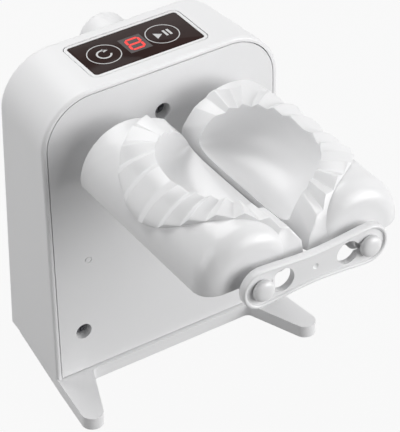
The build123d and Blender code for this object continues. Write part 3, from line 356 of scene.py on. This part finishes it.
def profileRadius(run):
    # the roller's radius at a run along its outline, which turns in over the nose
    straight = rollerLook["rear"] - rollerLook["front"] - rollerLook["nose"]
    if run <= straight:
        return rollerLook["radius"], rollerLook["rear"] - run
    turn = min((run - straight) / rollerLook["nose"], pi / 2)
    drop = rollerLook["nose"] * (1 - cos(turn))
    return rollerLook["radius"] - drop, rollerLook["rear"] - straight - rollerLook["nose"] * sin(turn)


def runAt(y):
    straightEnd = rollerLook["front"] + rollerLook["nose"]
    if y >= straightEnd:
        return rollerLook["rear"] - y
    turn = asin(min(1.0, (straightEnd - y) / rollerLook["nose"]))
    return rollerLook["rear"] - straightEnd + rollerLook["nose"] * turn


def onRoller(run, angle, lift=0.0):
    # angle is in degrees from the nip over the top; the result is about the roller's own axis
    radius, y = profileRadius(run)
    return Vector((-(radius + lift) * cos(radians(angle)), y, (radius + lift) * sin(radians(angle))))


def signedPower(value, power):
    return abs(value) ** power * (1 if value >= 0 else -1)


def rimPlace(turn):
    # turns 0 to pi go over the arch from the rear to the front, pi to tau go back along the straight lip
    if sin(turn) >= 0:
        y = signedPower(cos(turn), 2 / rollerLook["rimPower"])
        rise = rollerLook["rimRise"] * sin(turn) ** (2 / rollerLook["rimPower"])
    else:
        y = cos(turn)
        rise = -rollerLook["lipDrop"] * sqrt(max(0.0, 1 - abs(y) ** 6))
    return rollerLook["rimMiddle"] + rollerLook["rimHalf"] * y, rollerLook["rimLow"] + rise


def edgePlace(turn):
    if sin(turn) >= 0:
        y = rollerLook["edgeMiddle"] + rollerLook["edgeHalf"] * signedPower(cos(turn), 2 / rollerLook["edgePower"])
        rise = rollerLook["edgeRise"] * sin(turn) ** (2 / rollerLook["edgePower"])
    else:
        y = rollerLook["edgeFront"] + (rollerLook["edgeRear"] - rollerLook["edgeFront"]) * (1 + cos(turn)) / 2
        rise = 0.0
    return min(rollerLook["edgeRear"], max(rollerLook["edgeFront"], y)), rollerLook["edgeLow"] + rise


def rimLift(archShare):
    # the lip's height fades out up the arch, where the pleats take over
    share = min(1.0, max(0.0, archShare / rollerLook["lipFade"]))
    return rollerLook["lip"] * (1 - share * share * (3 - 2 * share))


def bandPoint(share, turn, lift):
    # the border keeps its full radius where the skin below it turns in over the nose
    (rimY, rimAngle), (edgeY, edgeAngle) = rimPlace(turn), edgePlace(turn)
    angle = radians(rimAngle + (edgeAngle - rimAngle) * share)
    radius = rollerLook["radius"] + lift
    return Vector((-radius * cos(angle), rimY + (edgeY - rimY) * share, radius * sin(angle)))


def bowlPoint(y, angle):
    # at every y the bowl is one arc, from the lip's top edge to the arch
    offset = min(1.0, abs(y - rollerLook["rimMiddle"]) / rollerLook["rimHalf"])
    arch = max(0.0, 1 - offset ** rollerLook["rimPower"])
    lowAngle = rollerLook["rimLow"] - rollerLook["lipDrop"] * sqrt(max(0.0, 1 - offset**6))
    highAngle = rollerLook["rimLow"] + rollerLook["rimRise"] * arch ** (1 / rollerLook["rimPower"])
    run = runAt(y)
    low = onRoller(run, lowAngle, rollerLook["lip"])
    high = onRoller(run, highAngle, rimLift(sqrt(arch)))
    chord = high - low
    if chord.length < 0.001:
        return low
    share = min(1.0, max(0.0, (angle - lowAngle) / (highAngle - lowAngle)))
    along = chord.normalized()
    outward = Vector((-along.z, 0, along.x))
    half = radians(rollerLook["bowlTurn"])
    reach = chord.length / 2 / sin(half)
    turn = half * (2 * share - 1)
    return (low + high) / 2 + outward * reach * (cos(half) - cos(turn)) + along * reach * sin(turn)


def flatAngle(run):
    return degrees(asin(rollerLook["flat"] / profileRadius(run)[0]))


def edgeTable():
    # length along the border's outer edge, from the top of its arch
    steps = rollerLook["edgeSteps"]
    places = [edgePlace(pi * step / steps) for step in range(steps + 1)]
    lengths = [0.0]
    for (y0, a0), (y1, a1) in zip(places, places[1:]):
        along, around = runAt(y1) - runAt(y0), radians(a1 - a0) * rollerLook["radius"]
        lengths.append(lengths[-1] + sqrt(along**2 + around**2))
    return [length - lengths[steps // 2] for length in lengths]


edgeLengths = edgeTable()


def turnAt(length):
    step = next(index for index, value in enumerate(edgeLengths) if value >= length)
    before = edgeLengths[step - 1]
    return pi / rollerLook["edgeSteps"] * (step - 1 + (length - before) / (edgeLengths[step] - before))


def pleatTurn(pleat):
    # the turn at a number of pleats from the top of the arch; they narrow away from it
    part = abs(pleat) / (rollerLook["pleats"] / 2)
    reach = rollerLook["pleatReach"]["front" if pleat > 0 else "rear"]
    length = reach * ((1 + rollerLook["slowing"]) * part - rollerLook["slowing"] * part * part)
    return turnAt(length if pleat > 0 else -length)


def blockLift(turn, topAngle, topLift):
    # the plain end blocks are flat between the nip, one corner and the nearest crest
    look = rollerLook
    angle = edgePlace(turn)[1]
    nip, corner, top = (look["edgeLow"], look["lip"]), (look["blockCorner"], look["cornerLift"]), (topAngle, topLift)
    (a0, l0), (a1, l1) = (nip, corner) if angle <= look["blockCorner"] else (corner, top)
    r0, r1 = look["radius"] + l0, look["radius"] + l1
    across = r0 * sin(radians(angle - a0)) + r1 * sin(radians(a1 - angle))
    return r0 * r1 * sin(radians(a1 - a0)) / across - look["radius"]


def pleatLift(height):
    # the heights at the bowl's rim and at the outer edge
    look = rollerLook
    return [look["valley"] + (crest - look["valley"]) * height for crest in (look["rimCrest"], look["crest"])]


def ringStations():
    # the turn, the height as a share of a pleat and the heights at both edges, once round the border
    look = rollerLook
    stations = []
    last = look["pleats"] // 2
    firstCrest = pleatTurn(look["crestAt"] - last)
    for step in range(plainColumns):
        share = step / plainColumns
        turn = firstCrest * share
        stations.append((turn, share**4, look["lip"] - 0.1 * share**4,
                         blockLift(turn, edgePlace(firstCrest)[1], look["crest"])))
    for pleat in range(-last, last):
        for along, height in pleatSteps:
            if pleat > -last or along >= look["crestAt"]:
                stations.append((pleatTurn(pleat + along), height, *pleatLift(height)))
    stations.append((pleatTurn(last), 0.02, *pleatLift(0.02)))
    for along in look["lastRiser"]:
        height = along / look["riserSpan"]
        low, high = pleatLift(height)
        stations.append((pleatTurn(last + along), height * 0.8, low, min(high, look["blockLift"])))
    lastTurn = pleatTurn(last + look["riserEnd"])
    for step in range(plainColumns):
        share = step / plainColumns
        turn = lastTurn + (pi - lastTurn) * share
        stations.append((turn, 0.6 * (1 - share) ** 4, look["lip"],
                         blockLift(turn, edgePlace(lastTurn)[1], look["blockLift"])))
    for step in range(nipColumns):
        stations.append((pi + pi * step / nipColumns, 0.0, look["lip"], look["lip"]))
    return stations


def targetEdge(turn):
    # where the column that crosses the border at this turn leaves the roller's skin, spread out
    # so that no two columns cross on the way
    straight = rollerLook["rear"] - rollerLook["front"] - rollerLook["nose"]
    lastRun = straight + rollerLook["nose"] * pi / 2
    rearCorner, frontCorner = (radians(corner) for corner in rollerLook["skinCorners"])
    if sin(turn) < 0 or turn >= pi:
        return lastRun * (1 - (1 + cos(turn)) / 2), lambda run: -flatAngle(run)
    angle = edgePlace(turn)[1]
    if turn < rearCorner:
        cornerAngle, run = edgePlace(rearCorner)[1], 0.0
    elif turn > frontCorner:
        cornerAngle, run = edgePlace(frontCorner)[1], lastRun
    else:
        return lastRun * (turn - rearCorner) / (frontCorner - rearCorner), lambda run: 180 + flatAngle(run)
    low = rollerLook["edgeLow"]
    part = (angle - low) / (cornerAngle - low)
    return run, lambda run: (angle + (180 + flatAngle(run) - cornerAngle) * part**3
                             - (flatAngle(run) + low) * (1 - part) ** 8)


def ringColumn(turn, height, rimTop, edgeTop):
    # one column of points from the middle of the bowl, over the border, to the roller's far edge
    rimY, rimAngle = rimPlace(turn)
    middleY, middleAngle = rollerLook["rimMiddle"], rollerLook["bowlCentre"]
    column = [bowlPoint(middleY + (rimY - middleY) * share, middleAngle + (rimAngle - middleAngle) * share)
              for share in bowlRows]
    base = rimLift(max(0.0, sin(turn)))
    column.append(bandPoint(0.0, turn, base + rollerLook["rimStep"] * (rimTop - base)))
    start = rollerLook["bandStart"]
    column.append(bandPoint(start, turn, rimTop))
    edge = rollerLook["bandEnd"] - rollerLook["tipCut"] * height
    for share in bandRows:
        column.append(bandPoint(start + (edge - start) * share, turn, rimTop + (edgeTop - rimTop) * share))
    for share, height in rollerLook["edgeFall"]:
        column.append(bandPoint(edge + (1 - edge) * share, turn, height * edgeTop))
    edgeY, edgeAngle = edgePlace(turn)
    edgeRun = runAt(edgeY)
    column.append(onRoller(edgeRun, edgeAngle))
    lastRun, lastAngle = targetEdge(turn)
    for step in range(1, bodyRows + 1):
        share = step / bodyRows
        run = edgeRun + (lastRun - edgeRun) * share
        column.append(onRoller(run, edgeAngle + (lastAngle(run) - edgeAngle) * share))
    return column


def rollerColumns():
    columns = [ringColumn(*station) for station in ringStations()]
    columns.append(columns[0])
    return columns


def addSocket(bm, radius, back, front):
    # a plain round bar, half sunk in the roller, which holds the hub or the pin
    socket = bmesh.ops.create_cone(
        bm, cap_ends=True, segments=48, radius1=radius * mm, radius2=radius * mm, depth=(back - front) * mm
    )
    turnAndMove = Matrix.Translation((0, (back + front) / 2 * mm, 0)) @ Matrix.Rotation(pi / 2, 4, "X")
    bmesh.ops.transform(bm, matrix=turnAndMove, verts=socket["verts"])


def buildRoller(name, side, body, replaced):
    columns = rollerColumns()
    rows = len(columns[0])
    bm = bmesh.new()
    bmesh.ops.create_grid(bm, x_segments=len(columns) - 1, y_segments=rows - 1, size=1)
    for vert in bm.verts:
        column = round((vert.co.x + 1) / 2 * (len(columns) - 1))
        row = round((vert.co.y + 1) / 2 * (rows - 1))
        vert.co = columns[column][row] * mm
    bmesh.ops.remove_doubles(bm, verts=bm.verts, dist=0.000002)
    # the two end faces and the flat underside close it
    for end in (rollerLook["rear"], rollerLook["front"]):
        rim = [edge for edge in bm.edges if edge.is_boundary
               and all(abs(v.co.y - end * mm) < 0.00001 for v in edge.verts)]
        bmesh.ops.contextual_create(bm, geom=rim)
    bmesh.ops.holes_fill(bm, edges=[edge for edge in bm.edges if edge.is_boundary], sides=0)
    bmesh.ops.recalc_face_normals(bm, faces=bm.faces)
    lower = [edge for edge in bm.edges
             if all(abs(v.co.z + rollerLook["flat"] * mm) < 0.00001 for v in edge.verts)
             and edge.calc_face_angle(0) > radians(50)]
    rounding = rollerLook["flatRound"] * mm
    bmesh.ops.bevel(bm, geom=lower, offset=rounding, segments=2, affect="EDGES", profile=0.5, material=-1)
    rear, front, inset = rollerLook["rear"], rollerLook["front"], rollerLook["socketInset"]
    (rearRadius, rearDepth), (frontRadius, frontDepth) = rollerLook["rearSocket"], rollerLook["frontSocket"]
    addSocket(bm, rearRadius, rear - inset, rear - rearDepth)
    addSocket(bm, frontRadius, front + frontDepth, front + inset)
    if side < 0:
        bmesh.ops.scale(bm, vec=(-1, 1, 1), verts=bm.verts)
    axis = rollerLook["axis"]
    bmesh.ops.translate(bm, vec=(side * abs(axis[0]), 0, axis[2]), verts=bm.verts)
    piece = finishPiece(bm, name, body, "white_roller", 42)
    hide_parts(replaced)


buildRoller("rightRoller", 1, "right_roller", "right_mould")
buildRoller("leftRoller", -1, "left_roller", "left_mould")
print("stage: mould rollers")


# link bar and end pins
linkLook = {
    "middle": (0, frame["joints"][1]["pos_m"][2] / mm), "half": 25.0, "radius": 8.75,
    "front": -79.4, "recess": 0.9, "waist": 1.7,
    "keyX": 15.2, "keyRadius": 5.2, "slot": 2.58, "dimple": 1.3,
    # offset in from the outline, and how far behind the front face: the back edge, the side and the round rim
    "rim": [(0.5, 3.78), (0.15, 3.6), (0.0, 3.3), (0.0, 0.75), (0.1, 0.42), (0.28, 0.16), (0.52, 0.03), (0.8, 0.0),
            (1.1, 0.04), (1.34, 0.18), (1.52, 0.42), (1.62, 0.7), (1.75, 0.9)],
    # radii of the pins, the two ends of the shoulder, the back of the head and the height of its dome
    "pinHead": 4.6, "pinNeck": 2.5, "pinShoulder": 4.1, "shoulderEnds": (-71.9, -75.3), "headBack": -78.8,
    "dome": 1.9,
}


def waistedBar(half, radius, steps=28, sideSteps=22):
    # points round a bar with half-round ends and a narrower middle, in its own plane
    points = []
    for side, start in ((1, -pi / 2), (-1, pi / 2)):
        for step in range(steps + 1):
            turn = start + pi * step / steps
            points.append((side * half + radius * cos(turn), radius * sin(turn)))
        for step in range(1, sideSteps):
            share = step / sideSteps
            dip = linkLook["waist"] * sin(pi * share) ** 1.5
            points.append((side * half * (1 - 2 * share), side * (radius - dip)))
    return points


def keyholeOutline(side, steps=40):
    # a round hole with a slot that runs out to the pin's neck
    look = linkLook
    opening = asin(look["slot"] / look["keyRadius"])
    points = []
    for step in range(steps + 1):
        turn = opening + (tau - 2 * opening) * step / steps
        points.append((side * (look["keyX"] + look["keyRadius"] * cos(turn)), look["keyRadius"] * sin(turn)))
    for step in range(13):
        turn = -pi / 2 + pi * step / 12
        points.append((side * (look["half"] + look["slot"] * cos(turn)), look["slot"] * sin(turn)))
    return points


def addLoop(bm, outline, y):
    midX, midZ = linkLook["middle"]
    verts = [bm.verts.new(((midX + x) * mm, y * mm, (midZ + z) * mm)) for x, z in outline]
    return [bm.edges.new((verts[index - 1], verts[index])) for index in range(len(verts))]


def buildLink():
    look = linkLook
    bm = bmesh.new()
    loops = [addLoop(bm, waistedBar(look["half"], look["radius"] - inset), look["front"] + depth)
             for inset, depth in look["rim"]]
    for outer, inner in zip(loops, loops[1:]):
        bmesh.ops.bridge_loops(bm, edges=[*outer, *inner])
    floorY = look["front"] + look["recess"]
    fronts = [addLoop(bm, keyholeOutline(side), floorY) for side in (-1, 1)]
    backs = [addLoop(bm, keyholeOutline(side), look["front"] + look["rim"][0][1]) for side in (-1, 1)]
    for frontLoop, backLoop in zip(fronts, backs):
        bmesh.ops.bridge_loops(bm, edges=[*frontLoop, *backLoop])
    # a shallow round dimple in the middle
    circle = [(cos(tau * step / 32), sin(tau * step / 32)) for step in range(32)]
    rings = [addLoop(bm, [(x * r, z * r) for x, z in circle], floorY + depth)
             for r, depth in ((look["dimple"], 0.0), (0.8 * look["dimple"], 0.22), (0.35 * look["dimple"], 0.42))]
    for outer, inner in zip(rings, rings[1:]):
        bmesh.ops.bridge_loops(bm, edges=[*outer, *inner])
    bmesh.ops.contextual_create(bm, geom=rings[-1])
    bmesh.ops.triangle_fill(bm, edges=[*loops[-1], *fronts[0], *fronts[1], *rings[0]], use_beauty=True)
    bmesh.ops.triangle_fill(bm, edges=[*loops[0], *backs[0], *backs[1]], use_beauty=True)
    piece = finishPiece(bm, "linkRail", "body", "white_roller", 32)
    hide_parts("link_bar")


def buildPin(name, side, replaced):
    # a turned pin: tail, shoulder, neck and a domed head
    look = linkLook
    low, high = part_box(replaced)
    tailY, headY = high.y / mm, low.y / mm
    head, neck, shoulder, dome = look["pinHead"], look["pinNeck"], look["pinShoulder"], look["dome"]
    (start, stop), headBack = look["shoulderEnds"], look["headBack"]
    profile = [(0, tailY), (neck - 0.3, tailY), (neck, tailY - 0.3), (neck, start), (shoulder - 0.2, start),
               (shoulder, start - 0.2), (shoulder, stop + 0.2), (shoulder - 0.2, stop), (neck, stop),
               (neck, headBack), (head - 0.25, headBack), (head, headBack - 0.3), (head, headY + dome)]
    for step in range(1, 15):
        turn = pi / 2 * step / 14
        profile.append((head * cos(turn) ** 0.75, headY + dome - dome * sin(turn)))
    profile[-1] = (0, headY)
    bm = bmesh.new()
    verts = [bm.verts.new((r * mm, y * mm, 0)) for r, y in profile]
    edges = [bm.edges.new(pair) for pair in zip(verts, verts[1:])]
    bmesh.ops.spin(bm, geom=[*verts, *edges], cent=(0, 0, 0), axis=(0, 1, 0), angle=tau, steps=48, use_merge=True)
    bmesh.ops.translate(bm, vec=(side * look["half"] * mm, 0, look["middle"][1] * mm), verts=bm.verts)
    piece = finishPiece(bm, name, ("right" if side > 0 else "left") + "_roller", "white_roller", 32)
    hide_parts(replaced)


buildLink()
buildPin("rightPin", 1, "right_end_pin")
buildPin("leftPin", -1, "left_end_pin")
print("stage: link bar and pins")


# lens, its print and the lit digit
lensLow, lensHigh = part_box("control_lens")
lensLook = {
    "middle": ((lensLow.x + lensHigh.x) / 2, (lensLow.y + lensHigh.y) / 2),
    "top": lensHigh.z - 0.08 * mm,
    "print": 0.03 * mm,
    "ringX": 14.1 * mm, "ringShift": -1.2 * mm, "ringRadius": 7.2 * mm, "ringWidth": 0.42 * mm,
    "loopRadius": 3.0 * mm, "loopWidth": 0.8 * mm, "loopStart": radians(60), "loopSweep": radians(285),
    "digit": (6.0 * mm, 7.6 * mm), "digitStroke": 1.15 * mm, "digitGap": 0.14 * mm, "digitLean": 0.08,
    "digitShift": -0.4 * mm, "digitWindow": (10.4 * mm, 11.6 * mm),
}


def buildLens():
    bm = bmesh.new()
    bmesh.ops.create_cube(bm, size=1)
    width, depth = lensHigh.x - lensLow.x, lensHigh.y - lensLow.y
    thick = lensLook["top"] - lensLow.z
    bmesh.ops.scale(bm, vec=(width, depth, thick), verts=bm.verts)
    bmesh.ops.translate(bm, vec=(*lensLook["middle"], lensLow.z + thick / 2), verts=bm.verts)
    upright = [edge for edge in bm.edges if abs(edge.verts[0].co.z - edge.verts[1].co.z) > thick / 2]
    bmesh.ops.bevel(bm, geom=upright, offset=1.6 * mm, segments=6, affect="EDGES", profile=0.5, material=-1)
    top = [edge for edge in bm.edges if all(v.co.z > lensLook["top"] - 1e-6 for v in edge.verts)]
    bmesh.ops.bevel(bm, geom=top, offset=0.2 * mm, segments=2, affect="EDGES", profile=0.5, material=-1)
    piece = finishPiece(bm, "touchLens", "body", "dark_lens")
    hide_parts("control_lens")


def addArc(bm, centre, radius, width, start, sweep, steps):
    # a flat band swept round a centre, as print lies on the lens
    base = [bm.verts.new((centre[0] + r * cos(start), centre[1] + r * sin(start), lensLook["top"]))
            for r in (radius - width / 2, radius + width / 2)]
    edge = bm.edges.new(base)
    bmesh.ops.spin(
        bm, geom=[*base, edge], cent=(centre[0], centre[1], 0), axis=(0, 0, 1), angle=sweep, steps=steps,
        use_merge=abs(sweep - tau) < 1e-6,
    )


def addPolygon(bm, points):
    bm.faces.new([bm.verts.new((x, y, lensLook["top"])) for x, y in points])


def raisePrint(bm):
    bmesh.ops.remove_doubles(bm, verts=bm.verts, dist=0.000001)
    bmesh.ops.recalc_face_normals(bm, faces=bm.faces)
    lifted = bmesh.ops.extrude_face_region(bm, geom=list(bm.faces))
    moved = [part for part in lifted["geom"] if isinstance(part, bmesh.types.BMVert)]
    bmesh.ops.translate(bm, vec=(0, 0, lensLook["print"]), verts=moved)


def buildPrint():
    midX, midY = lensLook["middle"]
    leftX = midX + lensLook["ringShift"] - lensLook["ringX"]
    rightX = midX + lensLook["ringShift"] + lensLook["ringX"]
    bm = bmesh.new()
    for x in (leftX, rightX):
        addArc(bm, (x, midY), lensLook["ringRadius"], lensLook["ringWidth"], 0, tau, 72)
    # left: a loop with an arrow head; right: a start mark beside a stop mark
    radius, start = lensLook["loopRadius"], lensLook["loopStart"]
    addArc(bm, (leftX, midY), radius, lensLook["loopWidth"], start, lensLook["loopSweep"], 40)
    tipX, tipY = leftX + radius * cos(start), midY + radius * sin(start)
    arrow = ((-0.75, 1.35), (-0.95, -1.25), (1.35, -0.55))
    addPolygon(bm, [(tipX + dx * mm, tipY + dy * mm) for dx, dy in arrow])
    addPolygon(bm, [(rightX + dx * mm, midY + dy * mm) for dx, dy in ((-3.4, -2.3), (-0.1, 0), (-3.4, 2.3))])
    for dx in (0.9, 2.8):
        addPolygon(bm, [(rightX + (dx + px) * mm, midY + py * mm)
                        for px, py in ((0, -2.2), (1.1, -2.2), (1.1, 2.2), (0, 2.2))])
    raisePrint(bm)
    finishPiece(bm, "lensPrint", "body", "white_panel", 30, printWhite)


def buildDigit():
    # seven bars with mitred ends, leaning a little as such digits do
    midX, midY = lensLook["middle"]
    midX += lensLook["digitShift"]
    halfX, halfY = lensLook["digit"][0] / 2, lensLook["digit"][1] / 2
    stroke = lensLook["digitStroke"]
    bm = bmesh.new()
    gap, lean = lensLook["digitGap"], lensLook["digitLean"]
    for fromPoint, toPoint in (
        ((-halfX, halfY), (halfX, halfY)), ((-halfX, 0), (halfX, 0)), ((-halfX, -halfY), (halfX, -halfY)),
        ((-halfX, 0), (-halfX, halfY)), ((halfX, 0), (halfX, halfY)),
        ((-halfX, -halfY), (-halfX, 0)), ((halfX, -halfY), (halfX, 0)),
    ):
        start, stop = Vector(fromPoint), Vector(toPoint)
        run = (stop - start).normalized()
        side = Vector((-run.y, run.x))
        corners = [start + run * gap, start + run * (gap + stroke / 2) + side * stroke / 2,
                   stop - run * (gap + stroke / 2) + side * stroke / 2, stop - run * gap,
                   stop - run * (gap + stroke / 2) - side * stroke / 2,
                   start + run * (gap + stroke / 2) - side * stroke / 2]
        addPolygon(bm, [(midX + c.x + lean * c.y, midY + c.y) for c in corners])
    raisePrint(bm)
    bmesh.ops.translate(bm, vec=(0, 0, lensLook["print"] / 2), verts=bm.verts)
    finishPiece(bm, "litDigit", "body", "display_dark", 30, digitRed)
    # the darker window behind it
    bm = bmesh.new()
    windowX, windowY = lensLook["digitWindow"][0] / 2, lensLook["digitWindow"][1] / 2
    addPolygon(bm, [(midX - windowX, midY - windowY), (midX + windowX, midY - windowY),
                    (midX + windowX, midY + windowY), (midX - windowX, midY + windowY)])
    raisePrint(bm)
    bmesh.ops.translate(bm, vec=(0, 0, -lensLook["print"] / 2), verts=bm.verts)
    finishPiece(bm, "digitWindow", "body", "display_dark")


buildLens()
buildPrint()
buildDigit()
print("stage: touch panel")


# floor
def floorMaterial():
    # pale, with the soft glow of a studio sweep for what the camera and a gloss see of it
    material, tree, shader, place = startMaterial("studioFloor")
    clouds = addRange(tree, addNoise(tree, place, 3, 3), 0, 1)
    white = studio["floorWhite"]
    tree.links.new(addColours(tree, clouds, (white, white, white), (white - 0.01,) * 3), shader.inputs["Base Color"])
    shader.inputs["Roughness"].default_value = 0.9
    shader.inputs["Specular IOR Level"].default_value = 0.1
    glow = tree.nodes.new("ShaderNodeEmission")
    glow.inputs["Color"].default_value = (1, 1, 1, 1)
    share = tree.nodes.new("ShaderNodeMath")
    share.operation = "MULTIPLY"
    tree.links.new(addSeenRays(tree), share.inputs[0])
    share.inputs[1].default_value = studio["floorGlow"]
    mix = tree.nodes.new("ShaderNodeMixShader")
    tree.links.new(share.outputs[0], mix.inputs[0])
    tree.links.new(shader.outputs[0], mix.inputs[1])
    tree.links.new(glow.outputs[0], mix.inputs[2])
    tree.links.new(mix.outputs[0], tree.nodes["Material Output"].inputs["Surface"])
    return material


def buildFloor():
    bm = bmesh.new()
    bmesh.ops.create_grid(bm, x_segments=4, y_segments=4, size=studio["floorSize"])
    mesh = bpy.data.meshes.new("studioFloor")
    bm.to_mesh(mesh)
    bm.free()
    mesh.materials.append(floorMaterial())
    floor = bpy.data.objects.new("studioFloor", mesh)
    bpy.context.scene.collection.objects.link(floor)


buildFloor()
print("stage: floor")

bpy.context.view_layer.update()
